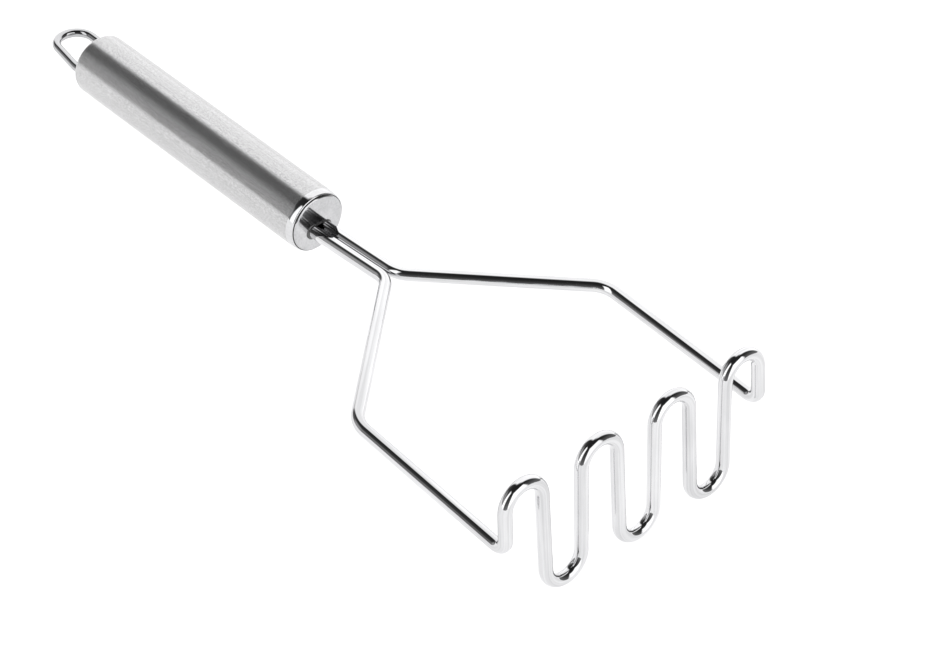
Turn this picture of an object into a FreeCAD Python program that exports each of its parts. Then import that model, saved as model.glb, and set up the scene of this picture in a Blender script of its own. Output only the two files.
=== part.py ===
import FreeCAD, Part
import math
import os

from FreeCAD import Placement, Rotation, Vector

# A potato masher: one round wire bent into two shanks, a split, two arms, two legs and a
# zig-zag mashing face, held in a hollow round handle with a hanging loop at its rear.
# Millimetres and degrees.
#
# The tool is first made in its own axes. The origin is where a line between the two face
# corners crosses the middle, +X points away from the handle, +Y is across the tool, and the
# legs and arms lie in the plane Z = 0. The finished tool is then turned about Y until the
# face's bottom bends and the rear of the handle lie on the same level, as on a worktop.

# Wire
wire_diameter = 4.0
wire_radius = wire_diameter / 2

# Mashing face, seen along X
upright_count = 8
upright_pitch = 13.6            # between neighbouring uprights, at mid-height
face_height = 38.4              # centre line of the top bends to that of the bottom bends
upright_lean = 1.15             # uprights lean in turn this way and that, so the bends open a little
face_lean = 10.5                # the top of the face leans back towards the handle
corner_rise = 0.6               # the legs meet the outer uprights this far above mid-height

# Legs, arms and shanks
leg_length = 60.5               # face to knee, along X
knee_half_width = 47.2          # middle of the tool to a knee
arm_reach = 39.9                # knee to split, along X
shank_length = 33.3             # split to the front of the handle
shank_gap = 0.1                 # between the two shanks
shank_drop = 6.9                # the shanks slope down towards the handle
corner_radius = 3.4             # centre-line radii of the bends
knee_radius = 9.2
split_radius = 7.6

# Handle
handle_diameter = 20.0
handle_length = 106.7
handle_wall = 0.7
handle_drop = 3.6               # slope of the handle's axis, down towards its rear
shank_offset = 1.9              # the shanks enter the cap this far below the handle's axis
nose_length = 2.4               # drawn-in end of the tube round the front cap
nose_drop = 0.45                # by how much the tube's radius shrinks there
rear_radius = 1.5               # rounded edge of the rear cap

# Front cap and rear cap
cap_thickness = 0.7
cap_skirt = 6.0                 # length of each cap's skirt inside the tube
cap_rim_radius = 0.9            # rounded edge of the front cap
cap_crown_radius = 100.0        # the front cap's face is slightly domed
cap_proud = 0.6                 # the rim stands this far out of the tube
press_clearance = 0.02          # radial, between a skirt and the tube
shank_clearance = 0.05          # radial, between a shank and the slot in the cap
shank_insert = 14.0             # length of shank inside the handle

# Hanging loop
loop_wire_diameter = 2.8
loop_radius = 6.1               # centre-line radius of the loop's bend
loop_reach = 19.6               # rear of the handle to the centre line of the bend
loop_square = 3.0               # this far behind the handle the sloping leg turns straight
loop_leg_radius = 10.0          # centre-line radius of that small turn
loop_insert = 9.0               # length of leg inside the handle
loop_clearance = 0.05           # radial, between a leg and its hole
loop_margin = 0.17              # between a leg and the inside of the rear cap's skirt

# Welds
shank_weld_leg = 0.8            # fillet round the shanks, on the outside of the cap
loop_weld_leg = 1.4             # fillet round each loop leg, on the inside of the rear cap


def swept_round(edges, radius):
    """A round wire along tangent lines and arcs."""
    first = edges[0]
    start = first.FirstParameter
    section = Part.makeCircle(radius, first.valueAt(start), first.tangentAt(start))
    return Part.Wire(edges).makePipeShell([Part.Wire(section)], True, False)


def rounded_corner(before, corner, after, radius):
    """Start, middle and end of the arc that rounds one corner of a path."""
    back = (before - corner).normalize()
    ahead = (after - corner).normalize()
    half_angle = back.getAngle(ahead) / 2
    inward = (back + ahead).normalize()
    setback = radius / math.tan(half_angle)
    middle = corner + inward * (radius / math.sin(half_angle) - radius)
    return corner + back * setback, middle, corner + ahead * setback


def path_edges(points, radii):
    """Lines through the points, with an arc of the given radius at each inner point."""
    edges = []
    here = points[0]
    for before, corner, after, radius in zip(points, points[1:], points[2:], radii):
        start, middle, end = rounded_corner(before, corner, after, radius)
        edges.append(Part.makeLine(here, start))
        edges.append(Part.Arc(start, middle, end).toShape())
        here = end
    edges.append(Part.makeLine(here, points[-1]))
    return edges


def turned(outline):
    """A solid of revolution about X from a closed outline in the XZ plane."""
    return Part.Face(Part.Wire(outline)).revolve(Vector(0, 0, 0), Vector(1, 0, 0), 360)


def lines(*points):
    """Lines from point to point, each point given as (x, z)."""
    corners = [Vector(x, 0, z) for x, z in points]
    return [Part.makeLine(a, b) for a, b in zip(corners, corners[1:])]


def along(angle):
    """Unit vector towards the handle, sloping down by the angle."""
    slope = math.radians(angle)
    return Vector(-math.cos(slope), 0, -math.sin(slope))


# ---- The wire ----

half_height = face_height / 2
lean_sin = math.sin(math.radians(upright_lean))
lean_cos = math.cos(math.radians(upright_lean))
face_bend_radius = (upright_pitch / 2 * lean_cos - half_height * lean_sin) / (1 - lean_sin)
shank_half_spacing = wire_radius + shank_gap / 2
split = Vector(-leg_length - arm_reach, 0, 0)
shank_entry = split + along(shank_drop) * shank_length


def face_point(across, up):
    """A point of the mashing face, from its middle."""
    lean = math.radians(face_lean)
    return Vector(-up * math.sin(lean), across, up * math.cos(lean) - corner_rise)


def upright_place(index):
    return (index - (upright_count - 1) / 2) * upright_pitch


def face_bend(index):
    """Start, middle and end of the bend between an upright and the next one."""
    side = 1 if index % 2 == 0 else -1
    centre = (upright_place(index) + upright_place(index + 1)) / 2
    height = side * (half_height - face_bend_radius)
    reach = face_bend_radius * lean_cos
    rise = side * face_bend_radius * lean_sin
    return (
        face_point(centre - reach, height + rise),
        face_point(centre, side * half_height),
        face_point(centre + reach, height + rise),
    )


def frame_side(side, first_bend_point):
    """One side's path, from inside the handle to the first bend of the face."""
    across = Vector(0, side * shank_half_spacing, 0)
    points = [
        shank_entry + along(shank_drop) * shank_insert + across,
        split + across,
        Vector(-leg_length, side * knee_half_width, 0),
        Vector(0, side * upright_place(upright_count - 1), 0),
        first_bend_point,
    ]
    return path_edges(points, [split_radius, knee_radius, corner_radius])


def reversed_path(edges):
    """The same path from its other end."""
    result = []
    for edge in reversed(edges):
        first = edge.FirstParameter
        last = edge.LastParameter
        start, middle, end = (edge.valueAt(at) for at in (first, (first + last) / 2, last))
        if isinstance(edge.Curve, Part.Line):
            result.append(Part.makeLine(end, start))
        else:
            result.append(Part.Arc(end, middle, start).toShape())
    return result


def masher_wire():
    bends = [face_bend(index) for index in range(upright_count - 1)]
    edges = frame_side(-1, bends[0][0])
    for index, (start, middle, end) in enumerate(bends):
        edges.append(Part.Arc(start, middle, end).toShape())
        if index + 1 < len(bends):
            edges.append(Part.makeLine(end, bends[index + 1][0]))
    edges += reversed_path(frame_side(1, bends[-1][2]))
    return swept_round(edges, wire_radius)


# ---- The handle ----
# These pieces are made with the handle's axis on X, the front of the tube at X = 0 and its
# rear at X = -handle_length, and then put in place.

handle_radius = handle_diameter / 2
bore_radius = handle_radius - handle_wall
skirt_radius = bore_radius - press_clearance
handle_up = Vector(-math.sin(math.radians(handle_drop)), 0, math.cos(math.radians(handle_drop)))
handle_place = Placement(
    shank_entry + handle_up * shank_offset,
    Rotation(Vector(0, 1, 0), -handle_drop),
)
tube_rear = -handle_length + rear_radius
rim_centre = Vector(cap_proud - cap_rim_radius, 0, skirt_radius - cap_rim_radius)
crown_depth = math.sqrt((cap_crown_radius - cap_rim_radius) ** 2 - rim_centre.z ** 2)
crown_centre = Vector(rim_centre.x - crown_depth, 0, 0)
face_middle = crown_centre.x + cap_crown_radius
slot_start = -2 * cap_skirt     # the front cap's slot is cut from well inside the skirt
slot_end = 2 * cap_skirt        # to well outside the cap


def handle_tube():
    nose_radius = (nose_length ** 2 + nose_drop ** 2) / (2 * nose_drop)
    share = math.asin(nose_length / nose_radius) / 2
    halfway = Vector(
        -nose_length + nose_radius * math.sin(share),
        0,
        handle_radius - nose_radius * (1 - math.cos(share)),
    )
    nose_start = Vector(-nose_length, 0, handle_radius)
    nose_tip = Vector(0, 0, handle_radius - nose_drop)
    outline = [Part.Arc(nose_start, halfway, nose_tip).toShape()]
    outline += lines(
        (0, nose_tip.z),
        (0, bore_radius),
        (tube_rear, bore_radius),
        (tube_rear, handle_radius),
        (-nose_length, handle_radius),
    )
    return turned(outline)


def front_cap_blank():
    """The front cap before its slot is cut: a shallow cup with a rounded rim and a domed face."""
    outward = (rim_centre - crown_centre).normalize()
    crown_edge = rim_centre + outward * cap_rim_radius
    apex = Vector(face_middle, 0, 0)
    crown_middle = crown_centre + (outward + Vector(1, 0, 0)).normalize() * cap_crown_radius
    rim_start = rim_centre + Vector(0, 0, cap_rim_radius)
    rim_middle = rim_centre + (outward + Vector(0, 0, 1)).normalize() * cap_rim_radius
    inside = crown_edge.x - cap_thickness
    outline = [
        Part.Arc(rim_start, rim_middle, crown_edge).toShape(),
        Part.Arc(crown_edge, crown_middle, apex).toShape(),
    ]
    outline += lines(
        (apex.x, 0),
        (inside, 0),
        (inside, skirt_radius - cap_thickness),
        (-cap_skirt, skirt_radius - cap_thickness),
        (-cap_skirt, skirt_radius),
        (rim_start.x, skirt_radius),
    )
    return turned(outline)


def shank_line(distance):
    """Placement on the shanks' middle line, this far in front of the tube, facing along it."""
    turn = Rotation(Vector(0, 1, 0), handle_drop - shank_drop)
    return Placement(Vector(0, 0, -shank_offset) + turn.multVec(Vector(distance, 0, 0)), turn)


def pair_outline(radius):
    """The outline of the two shanks side by side, grown to the radius, across the X axis."""
    top = Vector(0, 0, radius)
    side = Vector(0, shank_half_spacing, 0)
    return Part.Wire([
        Part.makeLine(side + top, top - side),
        Part.Arc(top - side, Vector(0, -radius, 0) - side, -top - side).toShape(),
        Part.makeLine(-top - side, side - top),
        Part.Arc(side - top, side + Vector(0, radius, 0), side + top).toShape(),
    ])


def shank_bars():
    """The two straight shanks through the front cap, in the handle's axes."""
    bars = []
    for side in (-1, 1):
        start = Vector(slot_start, side * shank_half_spacing, 0)
        bar = Part.makeCylinder(wire_radius, slot_end - slot_start, start, Vector(1, 0, 0))
        bar.Placement = shank_line(0).multiply(bar.Placement)
        bars.append(bar)
    return Part.makeCompound(bars)


def front_cap():
    section = Part.Face(pair_outline(wire_radius + shank_clearance))
    slot = section.extrude(Vector(slot_end - slot_start, 0, 0))
    slot.Placement = shank_line(slot_start)
    return front_cap_blank().cut(slot)


def shank_weld():
    """The fillet between the two shanks and the front cap, in the handle's axes."""
    foot_depth = cap_thickness / 2
    foot = pair_outline(wire_radius + shank_weld_leg + foot_depth)
    toe = pair_outline(wire_radius)
    foot.Placement = shank_line(face_middle - foot_depth)
    toe.Placement = shank_line(face_middle + shank_weld_leg)
    fillet = Part.makeLoft([foot, toe], True, True)
    return fillet.cut(front_cap_blank()).cut(shank_bars())


def rear_cap_blank():
    """The rear cap before its holes are drilled: a shallow cup with a rounded edge."""
    rear = -handle_length
    edge_centre = Vector(rear + rear_radius, 0, handle_radius - rear_radius)
    edge_start = edge_centre + Vector(0, 0, rear_radius)
    edge_middle = edge_centre + Vector(-1, 0, 1).normalize() * rear_radius
    edge_end = edge_centre - Vector(rear_radius, 0, 0)
    outline = [Part.Arc(edge_start, edge_middle, edge_end).toShape()]
    outline += lines(
        (rear, edge_centre.z),
        (rear, 0),
        (rear + cap_thickness, 0),
        (rear + cap_thickness, skirt_radius - cap_thickness),
        (tube_rear + cap_skirt, skirt_radius - cap_thickness),
        (tube_rear + cap_skirt, skirt_radius),
        (tube_rear, skirt_radius),
        (tube_rear, handle_radius),
    )
    return turned(outline)


# Each leg enters the rear cap just inside its skirt. The leg on the +Y side runs straight back
# into the loop's bend; the other slopes in to meet the bend at a tangent.
loop_wire_radius = loop_wire_diameter / 2
loop_leg_place = skirt_radius - cap_thickness - loop_margin - loop_wire_radius
bend_centre = Vector(-handle_length - loop_reach + loop_radius, loop_leg_place - loop_radius, 0)
bend_reach = loop_reach - loop_radius - loop_square
bend_width = loop_leg_place + bend_centre.y
loop_slope = math.acos(loop_radius / math.hypot(bend_reach, bend_width)) - math.atan2(
    bend_reach, bend_width
)


def rear_cap():
    cap = rear_cap_blank()
    for side in (-1, 1):
        start = Vector(-handle_length - loop_square, side * loop_leg_place, 0)
        hole = Part.makeCylinder(
            loop_wire_radius + loop_clearance, loop_square + cap_skirt, start, Vector(1, 0, 0)
        )
        cap = cap.cut(hole)
    return cap


def hang_loop():
    inside = -handle_length + loop_insert
    straight_end = bend_centre + Vector(0, loop_radius, 0)
    straight = Part.makeLine(Vector(inside, loop_leg_place, 0), straight_end)
    outward = Vector(-math.sin(loop_slope), -math.cos(loop_slope), 0)
    sloping_end = bend_centre + outward * loop_radius
    bend_middle = bend_centre - Vector(loop_radius, 0, 0)
    bend = Part.Arc(straight_end, bend_middle, sloping_end).toShape()
    points = [
        Vector(inside, -loop_leg_place, 0),
        Vector(-handle_length - loop_square, -loop_leg_place, 0),
        sloping_end,
    ]
    sloping = path_edges(points, [loop_leg_radius])
    return swept_round([straight, bend] + reversed_path(sloping), loop_wire_radius)


def loop_weld():
    """A fillet round each leg of the loop, inside the rear cap."""
    forward = Vector(1, 0, 0)
    middle = Vector(-handle_length + cap_thickness, 0, 0)
    hollow = Part.makeCylinder(skirt_radius - cap_thickness, cap_skirt, middle, forward)
    beads = []
    for side in (-1, 1):
        foot = middle + Vector(0, side * loop_leg_place, 0)
        toe_radius = loop_wire_radius + loop_weld_leg
        bead = Part.makeCone(toe_radius, loop_wire_radius, loop_weld_leg, foot, forward)
        leg = Part.makeCylinder(loop_wire_radius, loop_insert, foot, forward)
        beads.append(bead.common(hollow).cut(leg))
    return Part.makeCompound(beads)


# ---- The finished tool ----


def resting_turn():
    """Angle about Y that brings the bottom bends and the rear of the handle to one level."""
    bend = face_point(0, -half_height)
    rear = handle_place.multVec(Vector(tube_rear, 0, rear_radius - handle_radius))
    drop = rear - bend
    level = math.asin((rear_radius - wire_radius) / math.hypot(drop.x, drop.z))
    return math.degrees(math.atan2(drop.z, -drop.x) - level)


nodes = {"masher_wire": masher_wire()}
for name, make in (
    ("handle_tube", handle_tube),
    ("front_cap", front_cap),
    ("rear_cap", rear_cap),
    ("hang_loop", hang_loop),
    ("shank_weld", shank_weld),
    ("loop_weld", loop_weld),
):
    piece = make()
    piece.Placement = handle_place.multiply(piece.Placement)
    nodes[name] = piece

turn = Rotation(Vector(0, 1, 0), -resting_turn())
for piece in nodes.values():
    piece.Placement = Placement(Vector(0, 0, 0), turn).multiply(piece.Placement)
box = Part.makeCompound(list(nodes.values())).optimalBoundingBox(False, False)
foot = Vector((box.XMin + box.XMax) / 2, (box.YMin + box.YMax) / 2, box.ZMin)

os.makedirs("parts", exist_ok=True)
for name, piece in nodes.items():
    piece.translate(-foot)
    piece.exportStep(f"parts/{name}.step")
    state = "valid" if piece.isValid() else "NOT VALID"
    print(name, state, len(piece.Solids), "solid(s)", round(piece.Volume, 1))
print("resting turn", round(resting_turn(), 3))
print("size", [round(side, 1) for side in (box.XLength, box.YLength, box.ZLength)])
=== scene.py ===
import math

import bmesh
import bpy
from mathutils import Matrix, Vector


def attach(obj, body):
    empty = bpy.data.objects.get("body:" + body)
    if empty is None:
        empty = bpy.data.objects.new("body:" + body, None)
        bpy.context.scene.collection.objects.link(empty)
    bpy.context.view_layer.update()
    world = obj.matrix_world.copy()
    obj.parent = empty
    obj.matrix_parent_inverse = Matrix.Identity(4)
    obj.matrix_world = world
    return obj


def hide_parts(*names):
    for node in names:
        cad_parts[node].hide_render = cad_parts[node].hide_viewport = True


# Potato masher: a bent chrome wire in a brushed steel tube handle. Metres throughout.

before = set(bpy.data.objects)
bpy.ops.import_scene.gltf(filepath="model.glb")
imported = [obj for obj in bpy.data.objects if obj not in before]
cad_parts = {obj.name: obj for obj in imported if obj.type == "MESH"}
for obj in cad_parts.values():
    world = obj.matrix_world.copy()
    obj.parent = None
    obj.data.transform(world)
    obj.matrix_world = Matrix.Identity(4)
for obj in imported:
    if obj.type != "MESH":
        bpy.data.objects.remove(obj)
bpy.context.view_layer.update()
mm = 0.001
print("frame loaded:", len(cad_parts), "nodes")

cameraSettings = {
    "place": (0.460863, -0.426471, 0.551948),
    "right": (0.664499, 0.741721, 0.091058),
    "up": (-0.547030, 0.399780, 0.735480),
    "lens": 109.81,
    "sensor": 36,
    "nearest": 0.01,
    "farthest": 50,
}


def makeCamera(settings):
    data = bpy.data.cameras.new("camera")
    data.sensor_width = settings["sensor"]
    data.lens = settings["lens"]
    data.clip_start = settings["nearest"]
    data.clip_end = settings["farthest"]
    camera = bpy.data.objects.new("camera", data)
    bpy.context.scene.collection.objects.link(camera)
    right = Vector(settings["right"]).normalized()
    up = Vector(settings["up"])
    up = (up - right * up.dot(right)).normalized()
    back = right.cross(up)
    turn = Matrix((right, up, back)).transposed().to_4x4()
    camera.matrix_world = Matrix.Translation(settings["place"]) @ turn
    bpy.context.scene.camera = camera


makeCamera(cameraSettings)
bpy.context.scene.view_settings.view_transform = "Standard"
print("camera placed")


def newMaterial(name):
    material = bpy.data.materials.new(name)
    material.use_nodes = True
    tree = material.node_tree
    tree.nodes.clear()
    output = tree.nodes.new("ShaderNodeOutputMaterial")
    shader = tree.nodes.new("ShaderNodeBsdfPrincipled")
    tree.links.new(shader.outputs[0], output.inputs[0])
    return material, tree, shader


def link(tree, value, socket):
    # value is a socket or a plain number
    if isinstance(value, bpy.types.NodeSocket):
        tree.links.new(value, socket)
    else:
        socket.default_value = value


def mathNode(tree, operation, a, b=0.0):
    node = tree.nodes.new("ShaderNodeMath")
    node.operation = operation
    link(tree, a, node.inputs[0])
    link(tree, b, node.inputs[1])
    return node.outputs[0]


def product(tree, a, b):
    return mathNode(tree, "MULTIPLY", a, b)


def total(tree, a, b):
    return mathNode(tree, "ADD", a, b)


def blend(tree, first, second, share):
    # share of the first, and the rest of the second
    return total(tree, product(tree, first, share), product(tree, second, 1 - share))


def remap(tree, value, low, high, newLow=0, newHigh=1, smooth=False):
    node = tree.nodes.new("ShaderNodeMapRange")
    node.interpolation_type = "SMOOTHSTEP" if smooth else "LINEAR"
    link(tree, value, node.inputs["Value"])
    for name, number in (("From Min", low), ("From Max", high), ("To Min", newLow), ("To Max", newHigh)):
        node.inputs[name].default_value = number
    return node.outputs["Result"]


def noise(tree, vector, scale, detail=2.0, rough=0.5):
    # scale is how many lumps fit in a metre, along and across the metal
    mapping = tree.nodes.new("ShaderNodeMapping")
    mapping.inputs["Scale"].default_value = scale
    tree.links.new(vector, mapping.inputs["Vector"])
    node = tree.nodes.new("ShaderNodeTexNoise")
    node.inputs["Scale"].default_value = 1.0
    node.inputs["Detail"].default_value = detail
    node.inputs["Roughness"].default_value = rough
    tree.links.new(mapping.outputs["Vector"], node.inputs["Vector"])
    return node.outputs["Fac"]


def grainOf(tree):
    # the "grain" attribute: x along the metal, y and z across it, in metres
    node = tree.nodes.new("ShaderNodeAttribute")
    node.attribute_name = "grain"
    return node.outputs["Vector"]


def bump(tree, height, distance, under=None):
    node = tree.nodes.new("ShaderNodeBump")
    node.inputs["Strength"].default_value = 1.0
    node.inputs["Distance"].default_value = distance
    link(tree, height, node.inputs["Height"])
    if under is not None:
        tree.links.new(under, node.inputs["Normal"])
    return node.outputs["Normal"]


def greyMix(tree, factor, dark, light):
    node = tree.nodes.new("ShaderNodeMix")
    node.data_type = "RGBA"
    link(tree, factor, node.inputs["Factor"])
    node.inputs[6].default_value = (*dark, 1)     # the two colours are sockets 6 and 7
    node.inputs[7].default_value = (*light, 1)
    return node.outputs[2]


# a pale floor, three tall soft boxes and a dim room between them; angles in degrees
studio = {
    # each soft box: first and last azimuth, top, edge softness, brightness
    "boxes": [
        (82, 175, 74, 0.08, 1.28),
        (-28, 32, 50, 0.05, 1.50),
        (-116, -84, 60, 0.05, 1.50),
    ],
    "dimmest": 0.020,        # the dim room overhead
    "dimHorizon": 0.19,      # and how much lighter it is at the horizon
    "patch": 0.28,           # a paler part of the room, low down on the handle's side
    "patchAt": (-141, 16),   # its azimuth and height
    "patchReach": (23, 6),   # it fades between these angles
    "floorSize": 12.0,
    "floorGrey": 0.60,
    "floorGlow": 0.80,       # light that comes up through the paper
}
white = (1, 1, 1, 1)


def dotWith(tree, vector, direction):
    node = tree.nodes.new("ShaderNodeVectorMath")
    node.operation = "DOT_PRODUCT"
    tree.links.new(vector, node.inputs[0])
    node.inputs[1].default_value = direction
    return node.outputs["Value"]


def aroundTo(azimuth, height=0.0):
    a, h = math.radians(azimuth), math.radians(height)
    return math.cos(a) * math.cos(h), math.sin(a) * math.cos(h), math.sin(h)


def softBox(tree, direction, height, first, last, top, soft, brightness):
    # an upright box seen between two azimuths, up to its top
    afterFirst = remap(tree, dotWith(tree, direction, aroundTo(first + 90)), -soft, soft, smooth=True)
    beforeLast = remap(tree, dotWith(tree, direction, aroundTo(last - 90)), -soft, soft, smooth=True)
    topSine = math.sin(math.radians(top))
    belowTop = remap(tree, height, topSine - soft / 2, topSine + soft / 2, brightness, 0, smooth=True)
    return product(tree, product(tree, afterFirst, beforeLast), belowTop)


def makeWorld(settings):
    world = bpy.data.worlds.new("studio")
    bpy.context.scene.world = world
    world.use_nodes = True
    tree = world.node_tree
    tree.nodes.clear()
    output = tree.nodes.new("ShaderNodeOutputWorld")
    background = tree.nodes.new("ShaderNodeBackground")
    coordinates = tree.nodes.new("ShaderNodeTexCoord")
    split = tree.nodes.new("ShaderNodeSeparateXYZ")
    direction = coordinates.outputs["Generated"]
    tree.links.new(direction, split.inputs[0])
    height = split.outputs["Z"]
    down = mathNode(tree, "SUBTRACT", 1.0, height)
    room = product(tree, product(tree, down, down), settings["dimHorizon"])
    room = total(tree, room, settings["dimmest"])
    far, full = (math.cos(math.radians(angle)) for angle in settings["patchReach"])
    near = dotWith(tree, direction, aroundTo(*settings["patchAt"]))
    room = total(tree, room, remap(tree, near, far, full, 0, settings["patch"], smooth=True))
    for box in settings["boxes"]:
        room = total(tree, room, softBox(tree, direction, height, *box))
    tree.links.new(room, background.inputs["Strength"])
    # the bare backdrop behind the floor's far edge is plain white
    plain = tree.nodes.new("ShaderNodeBackground")
    rays = tree.nodes.new("ShaderNodeLightPath")
    mix = tree.nodes.new("ShaderNodeMixShader")
    tree.links.new(rays.outputs["Is Camera Ray"], mix.inputs[0])
    tree.links.new(background.outputs[0], mix.inputs[1])
    tree.links.new(plain.outputs[0], mix.inputs[2])
    tree.links.new(mix.outputs[0], output.inputs[0])
    plain.inputs["Color"].default_value = white
    background.inputs["Color"].default_value = white


def makeFloor(settings):
    half = settings["floorSize"] / 2
    grey = settings["floorGrey"]
    corners = [(-half, -half, 0), (half, -half, 0), (half, half, 0), (-half, half, 0)]
    mesh = bpy.data.meshes.new("floor")
    mesh.from_pydata(corners, [], [(0, 1, 2, 3)])
    floor = bpy.data.objects.new("floor", mesh)
    bpy.context.scene.collection.objects.link(floor)
    material, tree, shader = newMaterial("paper")
    shader.inputs["Base Color"].default_value = (grey, grey, grey, 1)
    shader.inputs["Roughness"].default_value = 1.0
    shader.inputs["Specular IOR Level"].default_value = 0.0
    shader.inputs["Emission Color"].default_value = white
    shader.inputs["Emission Strength"].default_value = settings["floorGlow"]
    mesh.materials.append(material)


makeWorld(studio)
makeFloor(studio)
print("studio ready")

# In each metal "dark" and "light" are the two greys its pattern runs between, the names ending in
# Scale are the pattern's lumps per metre, and those ending in Depth are how deep it is.


def greyPattern(tree, shader, settings, pattern, low, high):
    shade = remap(tree, pattern, low, high)
    tree.links.new(greyMix(tree, shade, settings["dark"], settings["light"]), shader.inputs["Base Color"])


def roughPattern(tree, shader, settings, pattern, low=0.3, high=0.7):
    roughness = remap(tree, pattern, low, high, settings["roughLow"], settings["roughHigh"])
    tree.links.new(roughness, shader.inputs["Roughness"])


def polishedWire(settings):
    # drawn lines along the wire, and the faint waves of a rod that was pulled and bent
    material, tree, shader = newMaterial("polishedWire")
    grain = grainOf(tree)
    smudge = noise(tree, grain, settings["smudgeScale"], 3.0)
    streaks = noise(tree, grain, settings["streakScale"])
    drawn = noise(tree, grain, settings["lineScale"])
    waves = noise(tree, grain, settings["waveScale"], 1.0)
    shader.inputs["Metallic"].default_value = 1.0
    greyPattern(tree, shader, settings, blend(tree, smudge, streaks, settings["smudgeShare"]), 0.35, 0.65)
    roughPattern(tree, shader, settings, smudge)
    normal = bump(tree, drawn, settings["lineDepth"])
    tree.links.new(bump(tree, waves, settings["waveDepth"], normal), shader.inputs["Normal"])
    return material


def brushedTube(settings):
    # long brush marks, broken up by fine specks
    material, tree, shader = newMaterial("brushedTube")
    grain = grainOf(tree)
    streaks = noise(tree, grain, settings["streakScale"], 4.0, 0.65)
    clouds = noise(tree, grain, settings["cloudScale"])
    specks = noise(tree, grain, settings["speckScale"])
    shader.inputs["Metallic"].default_value = settings["metallic"]
    greyPattern(tree, shader, settings, blend(tree, streaks, specks, settings["streakShare"]), 0.38, 0.62)
    roughPattern(tree, shader, settings, blend(tree, clouds, streaks, settings["cloudShare"]), 0.35, 0.65)
    normal = bump(tree, streaks, settings["streakDepth"])
    tree.links.new(bump(tree, specks, settings["speckDepth"], normal), shader.inputs["Normal"])
    return material


def polishedCap(settings):
    # spun and polished: fine rings round the axis
    material, tree, shader = newMaterial("polishedCap")
    grain = grainOf(tree)
    split = tree.nodes.new("ShaderNodeSeparateXYZ")
    tree.links.new(grain, split.inputs[0])
    squares = [product(tree, split.outputs[axis], split.outputs[axis]) for axis in "YZ"]
    rings = tree.nodes.new("ShaderNodeCombineXYZ")
    tree.links.new(mathNode(tree, "SQRT", total(tree, *squares)), rings.inputs[0])
    ringLines = noise(tree, rings.outputs[0], settings["ringScale"], 3.0)
    smudge = noise(tree, grain, settings["smudgeScale"], 3.0)
    specks = noise(tree, grain, settings["speckScale"])
    shader.inputs["Metallic"].default_value = 1.0
    greyPattern(tree, shader, settings, blend(tree, smudge, specks, settings["smudgeShare"]), 0.35, 0.65)
    roughPattern(tree, shader, settings, smudge)
    tree.links.new(bump(tree, ringLines, settings["ringDepth"]), shader.inputs["Normal"])
    return material


# a weld whose near-black grey is painted shade for the crease where the wires enter the caps
def rippledWeld(settings):
    material, tree, shader = newMaterial("weldPaintedShade")
    place = tree.nodes.new("ShaderNodeTexCoord").outputs["Object"]
    ripples = noise(tree, place, settings["rippleScale"], 3.0)
    shader.inputs["Metallic"].default_value = 1.0
    greyPattern(tree, shader, settings, ripples, 0, 1)
    roughPattern(tree, shader, settings, ripples)
    tree.links.new(bump(tree, ripples, settings["rippleDepth"]), shader.inputs["Normal"])
    return material


def seamShade(settings):
    # painted shade: near-black faces in the groove where the cap meets the tube, and inside the bore
    material, tree, shader = newMaterial("seamShade")
    specks = noise(tree, grainOf(tree), settings["speckScale"])
    shader.inputs["Metallic"].default_value = settings["metallic"]
    shader.inputs["Roughness"].default_value = settings["rough"]
    greyPattern(tree, shader, settings, specks, 0, 1)
    return material


wireFinish = {
    "dark": (0.58, 0.58, 0.59), "light": (0.78, 0.78, 0.79), "roughLow": 0.03, "roughHigh": 0.09,
    "smudgeScale": (60, 260, 260), "streakScale": (14, 1100, 1100), "smudgeShare": 0.3,
    "lineScale": (25, 4200, 4200), "lineDepth": 0.0006 * mm,
    "waveScale": (45, 170, 170), "waveDepth": 0.008 * mm,
}
loopFinish = {
    **wireFinish, "dark": (0.46, 0.46, 0.47), "light": (0.54, 0.54, 0.55),
    "roughLow": 0.05, "roughHigh": 0.11, "waveDepth": 0.006 * mm,
}
tubeFinish = {
    "dark": (0.51, 0.505, 0.51), "light": (0.68, 0.68, 0.685), "metallic": 0.80,
    "roughLow": 0.19, "roughHigh": 0.24, "cloudScale": (60, 110, 110), "cloudShare": 0.6,
    "streakScale": (90, 2600, 2600), "streakShare": 0.35, "streakDepth": 0.0008 * mm,
    "speckScale": (1500, 3200, 3200), "speckDepth": 0.0022 * mm,
}
capFinish = {
    "dark": (0.50, 0.50, 0.51), "light": (0.60, 0.60, 0.61), "roughLow": 0.06, "roughHigh": 0.12,
    "smudgeScale": (300, 300, 300), "speckScale": (1800, 1800, 1800), "smudgeShare": 0.5,
    "ringScale": (9000, 1, 1), "ringDepth": 0.0008 * mm,
}
noseFinish = {
    **capFinish, "dark": (0.64, 0.64, 0.65), "light": (0.72, 0.72, 0.73), "roughLow": 0.07,
}
# near-black greys: painted shade on the welds
weldShadeGreys = {
    "dark": (0.07, 0.07, 0.07), "light": (0.16, 0.16, 0.16), "roughLow": 0.16, "roughHigh": 0.30,
    "rippleScale": (1400, 1400, 1400), "rippleDepth": 0.006 * mm,
}
# the near-black greys of the painted shade in the seam and the bore
seamShadeGreys = {
    "dark": (0.02, 0.02, 0.02), "light": (0.06, 0.06, 0.06), "metallic": 0.4, "rough": 0.7,
    "speckScale": (2500, 2500, 2500),
}
wireMetal = polishedWire(wireFinish)
tubeMetal = brushedTube(tubeFinish)
loopMetal = polishedWire(loopFinish)
noseMetal = polishedCap(noseFinish)
capMetal = polishedCap(capFinish)
seamPaintedShade = seamShade(seamShadeGreys)
weldPaintedShade = rippledWeld(weldShadeGreys)
print("metals mixed")


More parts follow.
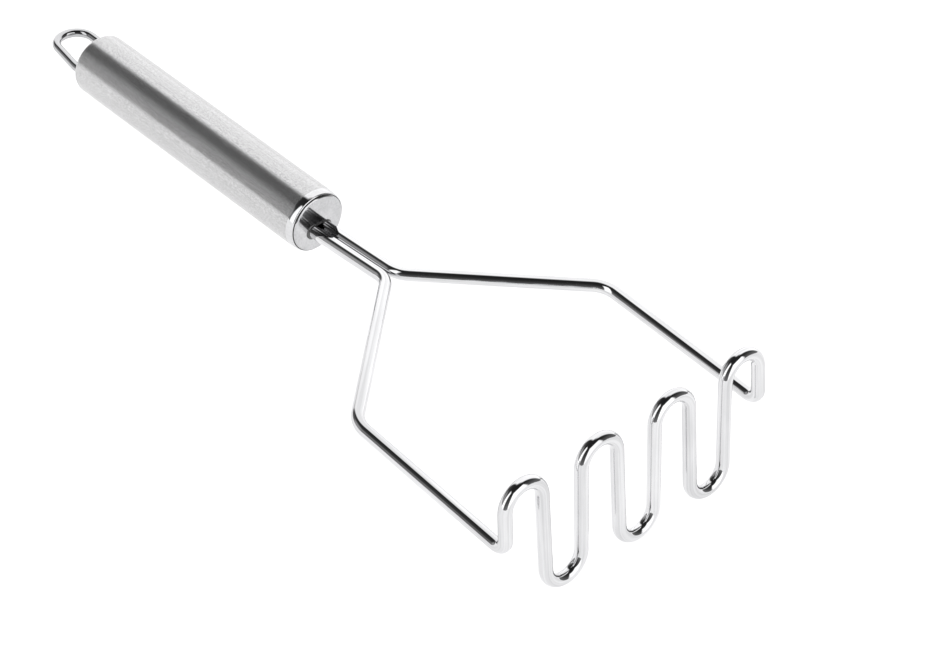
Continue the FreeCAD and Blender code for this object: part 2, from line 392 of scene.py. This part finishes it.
def addPiece(name, shape, material, replaced, smoothUpTo=35, zones=()):
    # shape is (corners, faces, each corner's place in the grain)
    # zones are (other material, test of a face's middle in the grain)
    verts, faces, grain = shape
    mesh = bpy.data.meshes.new(name)
    mesh.from_pydata([tuple(v) for v in verts], [], faces)
    shell = bmesh.new()
    shell.from_mesh(mesh)
    bmesh.ops.recalc_face_normals(shell, faces=shell.faces)
    shell.to_mesh(mesh)
    shell.free()
    mesh.attributes.new("grain", "FLOAT_VECTOR", "POINT").data.foreach_set(
        "vector", [number for place in grain for number in place]
    )
    mesh.materials.append(material)
    for index, (other, belongs) in enumerate(zones, 1):
        mesh.materials.append(other)
        for polygon in mesh.polygons:
            middle = sum((Vector(grain[v]) for v in polygon.vertices), Vector()) / len(polygon.vertices)
            if belongs(middle):
                polygon.material_index = index
    mesh.shade_smooth()
    mesh.set_sharp_from_angle(angle=math.radians(smoothUpTo))
    mesh.update()
    piece = bpy.data.objects.new(name, mesh)
    bpy.context.scene.collection.objects.link(piece)
    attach(piece, "root")
    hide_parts(replaced)


def arcPoints(start, middle, end, step):
    # points on the arc through three places, with the first and last among them
    a, b = middle - start, end - start
    normal = a.cross(b)
    centre = start + (b.length_squared * normal.cross(a) + a.length_squared * b.cross(normal)) / (
        2 * normal.length_squared
    )
    spoke = start - centre
    ahead = normal.normalized().cross(spoke)
    last = end - centre
    angle = math.atan2(last.dot(ahead), last.dot(spoke)) % (2 * math.pi)
    count = max(4, math.ceil(math.degrees(angle) / step))
    turns = [angle * i / count for i in range(count + 1)]
    return [centre + spoke * math.cos(t) + ahead * math.sin(t) for t in turns]


def linePoints(start, end, spacing):
    count = max(1, round((end - start).length / spacing))
    return [start.lerp(end, i / count) for i in range(count + 1)]


def roundedPath(corners, radii, spacing, step):
    points = []
    here = corners[0]
    for before, corner, after, radius in zip(corners, corners[1:], corners[2:], radii):
        back = (before - corner).normalized()
        ahead = (after - corner).normalized()
        half = back.angle(ahead) / 2
        setback = radius / math.tan(half)
        middle = corner + (back + ahead).normalized() * (radius / math.sin(half) - radius)
        start, end = corner + back * setback, corner + ahead * setback
        points += linePoints(here, start, spacing) + arcPoints(start, middle, end, step)
        here = end
    return points + linePoints(here, corners[-1], spacing)


def withoutRepeats(points, apart=0.02 * mm):
    kept = [points[0]]
    for point in points[1:]:
        if (point - kept[-1]).length > apart:
            kept.append(point)
    return kept


def turnsOf(count):
    return [2 * math.pi * k / count for k in range(count)]


def ringFaces(a, b, count):
    # the band of faces between two rings of corners
    return [(a + k, a + (k + 1) % count, b + (k + 1) % count, b + k) for k in range(count)]


def sweepWire(points, radius, sides, endRounding=0.12):
    # a round rod along the points, its frame carried from ring to ring, with slightly rounded ends
    points = withoutRepeats(points)
    last = len(points) - 1
    tangents = [(points[min(i + 1, last)] - points[max(i - 1, 0)]).normalized() for i in range(last + 1)]
    across = tangents[0].orthogonal().normalized()
    edge = radius * endRounding
    verts, grain, rings = [], [], []
    length = 0.0
    for i, (point, tangent) in enumerate(zip(points, tangents)):
        across = (across - tangent * across.dot(tangent)).normalized()
        other = tangent.cross(across)
        if i:
            length += (point - points[i - 1]).length
        layers = [(0.0, radius)]
        if i == 0:
            layers = [(0.0, radius - edge), (edge, radius)]
        if i == last:
            layers = [(-edge, radius), (0.0, radius - edge)]
        for shift, ringRadius in layers:
            rings.append(len(verts))
            for angle in turnsOf(sides):
                c, s = ringRadius * math.cos(angle), ringRadius * math.sin(angle)
                verts.append(point + tangent * shift + across * c + other * s)
                grain.append((length + shift, c, s))
    faces = []
    for a, b in zip(rings, rings[1:]):
        faces += ringFaces(a, b, sides)
    faces.append(tuple(range(rings[0] + sides - 1, rings[0] - 1, -1)))
    faces.append(tuple(range(rings[-1], rings[-1] + sides)))
    return verts, faces, grain


wire = {
    "diameter": 4.0 * mm, "uprights": 8, "pitch": 13.6 * mm, "faceHeight": 38.4 * mm,
    "uprightLean": math.radians(1.15), "faceLean": math.radians(10.5), "cornerRise": 0.6 * mm,
    "leg": 60.5 * mm, "kneeHalfWidth": 47.2 * mm, "armReach": 39.9 * mm, "shank": 33.3 * mm,
    "shankGap": 0.1 * mm, "shankSlope": math.radians(6.9), "insert": 14.0 * mm,
    "splitRadius": 7.6 * mm, "kneeRadius": 9.2 * mm, "cornerRadius": 3.4 * mm,
    "sides": 44, "spacing": 2.5 * mm, "step": 3.5,
}
# the tool's own axes: origin between the two face corners, +X away from the handle
resting = {"forward": 127.587 * mm, "up": 21.44 * mm, "turn": math.radians(0.661)}
toolPlace = Matrix.Translation((resting["forward"], 0, resting["up"])) @ Matrix.Rotation(
    -resting["turn"], 4, "Y"
)
split = Vector((-wire["leg"] - wire["armReach"], 0, 0))
towardsHandle = Vector((-math.cos(wire["shankSlope"]), 0, -math.sin(wire["shankSlope"])))
shankEntry = split + towardsHandle * wire["shank"]
wireRadius = wire["diameter"] / 2
pairHalf = wireRadius + wire["shankGap"] / 2      # half the distance between the shanks' middles


def facePoint(across, up):
    lean = wire["faceLean"]
    return Vector((-up * math.sin(lean), across, up * math.cos(lean) - wire["cornerRise"]))


def uprightPlace(index):
    return (index - (wire["uprights"] - 1) / 2) * wire["pitch"]


def faceBend(index):
    half = wire["faceHeight"] / 2
    leanSin, leanCos = math.sin(wire["uprightLean"]), math.cos(wire["uprightLean"])
    radius = (wire["pitch"] / 2 * leanCos - half * leanSin) / (1 - leanSin)
    side = 1 if index % 2 == 0 else -1
    middle = (uprightPlace(index) + uprightPlace(index + 1)) / 2
    height = side * (half - radius + radius * leanSin)
    return (
        facePoint(middle - radius * leanCos, height),
        facePoint(middle, side * half),
        facePoint(middle + radius * leanCos, height),
    )


def frameSide(side, firstBend):
    across = Vector((0, side * pairHalf, 0))
    corners = [
        shankEntry + towardsHandle * wire["insert"] + across,
        split + across,
        Vector((-wire["leg"], side * wire["kneeHalfWidth"], 0)),
        Vector((0, side * uprightPlace(wire["uprights"] - 1), 0)),
        firstBend,
    ]
    radii = (wire["splitRadius"], wire["kneeRadius"], wire["cornerRadius"])
    return roundedPath(corners, radii, wire["spacing"], wire["step"])


def masherPath():
    bends = [faceBend(i) for i in range(wire["uprights"] - 1)]
    path = frameSide(-1, bends[0][0])
    for i, bend in enumerate(bends):
        path += arcPoints(*bend, wire["step"])
        if i + 1 < len(bends):
            path += linePoints(bend[2], bends[i + 1][0], wire["spacing"])
    path += reversed(frameSide(1, bends[-1][2]))
    return [toolPlace @ point for point in path]


wirePath = masherPath()
wireShape = sweepWire(wirePath, wireRadius, wire["sides"])
addPiece("mashing_wire", wireShape, wireMetal, "masher_wire", 50)
print("wire bent:", len(wirePath), "points")

# Each round part is drawn as (distance along the handle, distance from its axis). The handle's
# front is at 0 and its rear at minus its length.
handle = {
    "length": 106.7 * mm, "radius": 10.0 * mm, "wall": 0.7 * mm, "rearRadius": 1.5 * mm,
    "slope": math.radians(3.6), "shankOffset": 1.9 * mm,    # the shanks enter this far below the axis
    "nose": 2.4 * mm, "noseDrop": 0.45 * mm, "noseSteps": 10,
    "lip": 0.30 * mm, "lipAngles": (0.5, 1.0, 1.4), "lipInner": 0.6, "rows": 24, "turns": 160,
}
cap = {
    "thickness": 0.7 * mm, "skirt": 6.0 * mm, "rim": 0.9 * mm, "crown": 100 * mm, "proud": 0.6 * mm,
    "fit": 0.02 * mm, "slotFit": 0.05 * mm, "turns": 160, "steps": 14, "rimSteps": 12,
}
shankOffset = handle["shankOffset"]
handleUp = Vector((-math.sin(handle["slope"]), 0, math.cos(handle["slope"])))
handlePlace = toolPlace @ Matrix.Translation(shankEntry + handleUp * shankOffset) @ Matrix.Rotation(
    -handle["slope"], 4, "Y"
)
bore = handle["radius"] - handle["wall"]
skirtRadius = bore - cap["fit"]
skirtInside = skirtRadius - cap["thickness"]
tubeRear = handle["rearRadius"] - handle["length"]


def roundPlace(x, r, angle):
    return Vector((x, r * math.sin(angle), r * math.cos(angle)))


def onHandle(places, faces):
    # places in the handle's own axes, which are also its grain
    return [handlePlace @ place for place in places], faces, [tuple(place) for place in places]


def lathe(profile, turns):
    # a closed profile turned about the handle's axis
    rings = [k * turns for k in range(len(profile))]
    places = [roundPlace(x, r, angle) for x, r in profile for angle in turnsOf(turns)]
    faces = []
    for a, b in zip(rings, rings[1:] + rings[:1]):
        faces += ringFaces(a, b, turns)
    return onHandle(places, faces)


def turnArc(centre, radius, first, last, steps):
    # angles in degrees from the +X direction, turning towards the outside
    angles = [math.radians(first + (last - first) * i / steps) for i in range(steps + 1)]
    return [(centre[0] + radius * math.cos(a), centre[1] + radius * math.sin(a)) for a in angles]


def tubeProfile():
    nose, drop, lip = handle["nose"], handle["noseDrop"], handle["lip"]
    steps, rows = handle["noseSteps"], handle["rows"]
    radius = (nose ** 2 + drop ** 2) / (2 * drop)
    outer = []
    for i in range(steps + 1):
        x = -nose + (nose - lip) * i / steps
        outer.append((x, handle["radius"] - radius + math.sqrt(radius ** 2 - (x + nose) ** 2)))
    tip = outer[-1][1]
    fall = tip - bore
    outer += [(-lip * (1 - math.sin(a)), tip - fall * (1 - math.cos(a))) for a in handle["lipAngles"]]
    outer += [(-lip * handle["lipInner"], bore)]
    inner = [(tubeRear * i / rows, bore) for i in range(1, rows + 1)]
    back = [(tubeRear + (-nose - tubeRear) * i / rows, handle["radius"]) for i in range(rows)]
    return outer + inner + back


# faces in the seam and in the bore get the painted shade
seam = {
    "bore": bore * 1.001,       # tube faces nearer the axis than this are the bore's own
    "depth": 0.01 * mm,         # and are in shade from this far in
    "capHeight": 0.18 * mm,     # cap faces lower than this
    "capStart": 8 * mm,         # and further from the axis than this are in shade too
}


def fromAxis(middle):
    return math.hypot(middle.y, middle.z)


def onNose(middle):
    return middle.x > -handle["nose"] and fromAxis(middle) > seam["bore"]


def inBore(middle):
    return middle.x < -seam["depth"] and fromAxis(middle) < seam["bore"]


addPiece(
    "handle_barrel", lathe(tubeProfile(), handle["turns"]), tubeMetal, "handle_tube",
    zones=((noseMetal, onNose), (seamPaintedShade, inBore)),
)
print("barrel turned")

rimCentre = (cap["proud"] - cap["rim"], skirtRadius - cap["rim"])
crownCentre = rimCentre[0] - math.sqrt((cap["crown"] - cap["rim"]) ** 2 - rimCentre[1] ** 2)
crownEdge = rimCentre[1] * cap["crown"] / (cap["crown"] - cap["rim"])
shankLine = Matrix.Translation((0, 0, -shankOffset)) @ Matrix.Rotation(
    handle["slope"] - wire["shankSlope"], 4, "Y"
)


def crownHeight(radius):
    return crownCentre + math.sqrt(cap["crown"] ** 2 - radius ** 2)


def pairOutline(radius, turns):
    # the outline of the two shanks side by side, as (y, z) round their middle
    outline = []
    for angle in turnsOf(turns):
        y, z = math.sin(angle), math.cos(angle)
        if radius * abs(y) <= pairHalf * abs(z):      # on the flats that join the two half circles
            reach = radius / abs(z)
        else:
            along = pairHalf * abs(y)
            reach = along + math.sqrt(along ** 2 - pairHalf ** 2 + radius ** 2)
        outline.append((reach * y, reach * z))
    return outline


def frontCapMesh():
    turns, steps = cap["turns"], cap["steps"]
    inside = crownHeight(crownEdge) - cap["thickness"]
    offset = Vector((0, -shankOffset))
    slot = [Vector(place) for place in pairOutline(wireRadius + cap["slotFit"], turns)]
    # where a line from the slot's middle through each of its points meets the crown's edge
    outer = []
    for place in slot:
        direction = place.normalized()
        along = direction.dot(offset)
        reach = -along + math.sqrt(along ** 2 - offset.length_squared + crownEdge ** 2)
        outer.append(offset + direction * reach)
    layers = [[Vector((inside, *(place + offset))) for place in slot]]
    for step in range(steps + 1):
        flats = [(place + offset).lerp(far, step / steps) for place, far in zip(slot, outer)]
        layers.append([Vector((crownHeight(flat.length), *flat)) for flat in flats])
    edgeAngle = math.degrees(math.asin(rimCentre[1] / (cap["crown"] - cap["rim"])))
    profile = turnArc(rimCentre, cap["rim"], edgeAngle, 90, cap["rimSteps"])[1:]
    profile += [(-cap["skirt"], skirtRadius), (-cap["skirt"], skirtInside), (inside, skirtInside)]
    for x, r in profile:
        layers.append([Vector((x, *(far.normalized() * r))) for far in outer])
    places = [place for layer in layers for place in layer]
    rings = [index * turns for index in range(len(layers))]
    faces = []
    for a, b in zip(rings, rings[1:] + rings[:1]):
        faces += ringFaces(a, b, turns)
    return onHandle(places, faces)


# the cap's faces down in the seam get the painted shade
def besideSeam(middle):
    return middle.x < seam["capHeight"] and fromAxis(middle) > seam["capStart"]


addPiece(
    "front_disc", frontCapMesh(), capMetal, "front_cap",
    zones=((seamPaintedShade, besideSeam),),
)

fillet = {
    "leg": 0.6 * mm, "turns": 96, "steps": 6,
    "sink": 0.05 * mm,       # its outer edge starts this far below the cap's face
    "root": 0.3 * mm,        # its inside reaches this far into the slot
    "grip": 0.02 * mm,       # and this far into the wire
}


def shankFillet():
    # a hollow fillet from the cap's face up on to the two shanks
    leg, turns, steps = fillet["leg"], fillet["turns"], fillet["steps"]
    foot = crownHeight(0)
    layers = []      # how far from the wire and how high above the cap each ring lies
    for i in range(steps + 1):
        angle = math.pi / 2 * i / steps
        layers.append((leg * (1 - math.sin(angle)), leg * (1 - math.cos(angle))))
    layers[0] = (leg, -fillet["sink"])
    layers += [(-fillet["grip"], leg), (-fillet["grip"], -fillet["root"])]
    places, rings, faces = [], [], []
    for grow, rise in layers:
        rings.append(len(places))
        places += [shankLine @ Vector((foot + rise, y, z)) for y, z in pairOutline(wireRadius + grow, turns)]
    for a, b in zip(rings, rings[1:] + rings[:1]):
        faces += ringFaces(a, b, turns)
    return onHandle(places, faces)


addPiece("shank_fillet", shankFillet(), weldPaintedShade, "shank_weld", 60)
print("front cap fitted")

rear = {
    "edgeSteps": 12,
    "flatRings": (0.8, 0.6, 0.4, 0.2),        # rings towards the middle of the flat end
    "hollowRings": (0.25, 0.5, 0.75, 1.0),    # and back out on its hollow side
}


def rearCapMesh():
    turns, length = cap["turns"], handle["length"]
    hollowFloor = cap["thickness"] - length
    edgeCentre = (tubeRear, handle["radius"] - handle["rearRadius"])
    outside = turnArc(edgeCentre, handle["rearRadius"], 90, 180, rear["edgeSteps"])
    outside += [(-length, outside[-1][1] * share) for share in rear["flatRings"]]
    inside = [(hollowFloor, skirtInside * share) for share in rear["hollowRings"]]
    skirtEnd = tubeRear + cap["skirt"]
    inside += [(skirtEnd, skirtInside), (skirtEnd, skirtRadius), (tubeRear, skirtRadius)]
    rows = outside + inside
    places = [roundPlace(x, r, angle) for x, r in rows for angle in turnsOf(turns)]
    rings = [index * turns for index in range(len(rows))]
    faces = []
    for index, (a, b) in enumerate(zip(rings, rings[1:] + rings[:1])):
        if index != len(outside) - 1:      # each side of the flat end closes at its own middle
            faces += ringFaces(a, b, turns)
    for ring, x in ((rings[len(outside) - 1], -length), (rings[len(outside)], hollowFloor)):
        faces += [(len(places), ring + k, ring + (k + 1) % turns) for k in range(turns)]
        places.append(Vector((x, 0, 0)))
    return onHandle(places, faces)


addPiece("rear_disc", rearCapMesh(), tubeMetal, "rear_cap")

loop = {
    "diameter": 2.8 * mm, "radius": 6.1 * mm, "reach": 19.6 * mm, "square": 3.0 * mm, "turn": 10.0 * mm,
    "insert": 9.0 * mm, "margin": 0.17 * mm, "sides": 32, "spacing": 1.5 * mm, "step": 4,
}


def loopPath():
    # one leg runs straight back, the other slopes in to meet the bend
    length, radius = handle["length"], loop["radius"]
    legPlace = skirtInside - loop["margin"] - loop["diameter"] / 2
    centre = Vector((-length - loop["reach"] + radius, legPlace - radius, 0))
    bendReach = loop["reach"] - radius - loop["square"]
    bendWidth = legPlace + centre.y
    slope = math.acos(radius / math.hypot(bendReach, bendWidth)) - math.atan2(bendReach, bendWidth)
    inside = -length + loop["insert"]
    straight = linePoints(Vector((inside, legPlace, 0)), centre + Vector((0, radius, 0)), loop["spacing"])
    corners = [
        Vector((inside, -legPlace, 0)),
        Vector((-length - loop["square"], -legPlace, 0)),
        centre - Vector((math.sin(slope), math.cos(slope), 0)) * radius,
    ]
    sloping = roundedPath(corners, (loop["turn"],), loop["spacing"], loop["step"])
    bend = arcPoints(sloping[-1], centre - Vector((radius, 0, 0)), straight[-1], loop["step"])
    return [handlePlace @ point for point in sloping + bend + straight[::-1]]


loopShape = sweepWire(loopPath(), loop["diameter"] / 2, loop["sides"])
addPiece("hanging_wire", loopShape, loopMetal, "hang_loop", 50)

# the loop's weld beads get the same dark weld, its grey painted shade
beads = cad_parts["loop_weld"]
beads.data.materials.clear()
beads.data.materials.append(weldPaintedShade)
print("rear cap and loop fitted")
